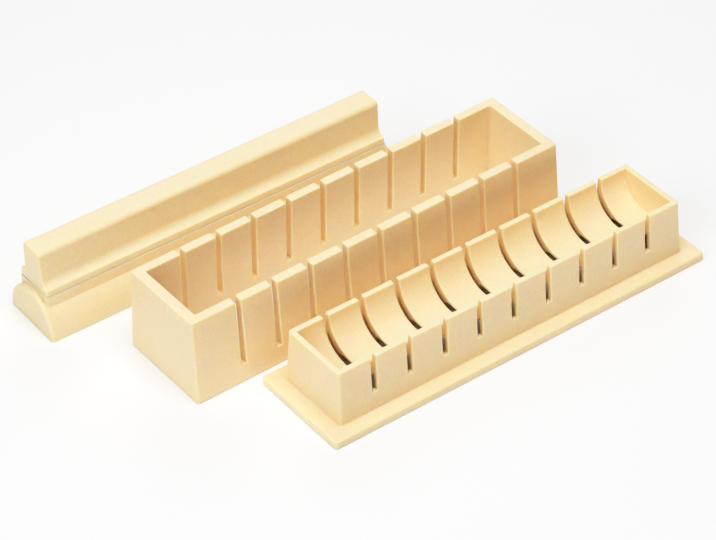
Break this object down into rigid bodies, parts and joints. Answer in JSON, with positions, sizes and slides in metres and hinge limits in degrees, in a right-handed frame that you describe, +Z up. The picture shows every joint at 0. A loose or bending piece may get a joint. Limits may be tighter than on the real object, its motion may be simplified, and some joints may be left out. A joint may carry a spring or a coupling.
{
  "type": "sushi rice mold press",
  "caption": "Long sushi roll mold in cream plastic: base tray with half-round trough, slotted frame and a hand presser with a bar grip, laid side by side.",
  "frame": {"origin": "centre of the laid-out row's bounding box, on the table under it", "axes": "+X along the long sides of the frame, +Y from the base tray at the front towards the presser at the back, +Z up from the table"},
  "size_m": [0.2765, 0.1795, 0.0455],
  "materials": {
    "tray_plastic": "satin moulded cream plastic",
    "frame_plastic": "satin moulded cream plastic",
    "press_plastic": "satin moulded cream plastic"
  },
  "bodies": {
    "tray": {"base_tray": "tray_plastic"},
    "frame": {"slotted_frame": "frame_plastic"},
    "presser": {"press_shoe": "press_plastic", "press_handle": "press_plastic"}
  },
  "joints": [
    {"name": "frame_lift", "type": "slide", "parent": "tray", "child": "frame", "axis": [0, 0, 1], "range_m": [0, 0.06]},
    {"name": "presser_lift", "type": "slide", "parent": "tray", "child": "presser", "axis": [0, 0, 1], "range_m": [0, 0.06]}
  ]
}
